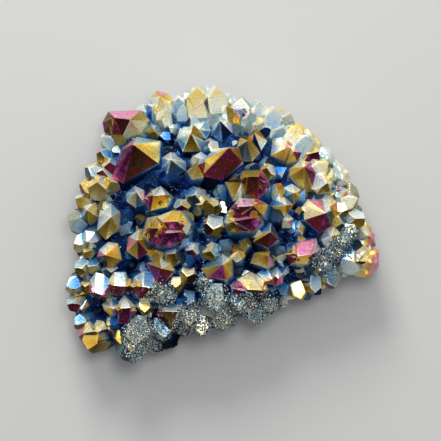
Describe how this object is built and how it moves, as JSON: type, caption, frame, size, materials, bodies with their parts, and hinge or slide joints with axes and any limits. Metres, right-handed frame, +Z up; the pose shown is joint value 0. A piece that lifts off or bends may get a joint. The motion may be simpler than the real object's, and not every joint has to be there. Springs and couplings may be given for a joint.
{
  "type": "aura quartz cluster",
  "caption": "Domed loose lump of quartz crowded with six-sided points under an iridescent metal film, with a flat broken back to lie on.",
  "frame": {"origin": "in the flat broken back, under the middle of the crown", "axes": "+Z up, away from the flat back; +X the long way across the cluster, towards its rounded lobe; +Y towards the two largest points"},
  "size_m": [0.0628, 0.0557, 0.0209],
  "materials": {
    "aura_quartz": "glossy iridescent titanium film, navy and royal blue in the hollows, gold, pink and maroon on the point ends"
  },
  "bodies": {
    "root": {"aura_quartz_cluster": "aura_quartz"}
  },
  "joints": []
}
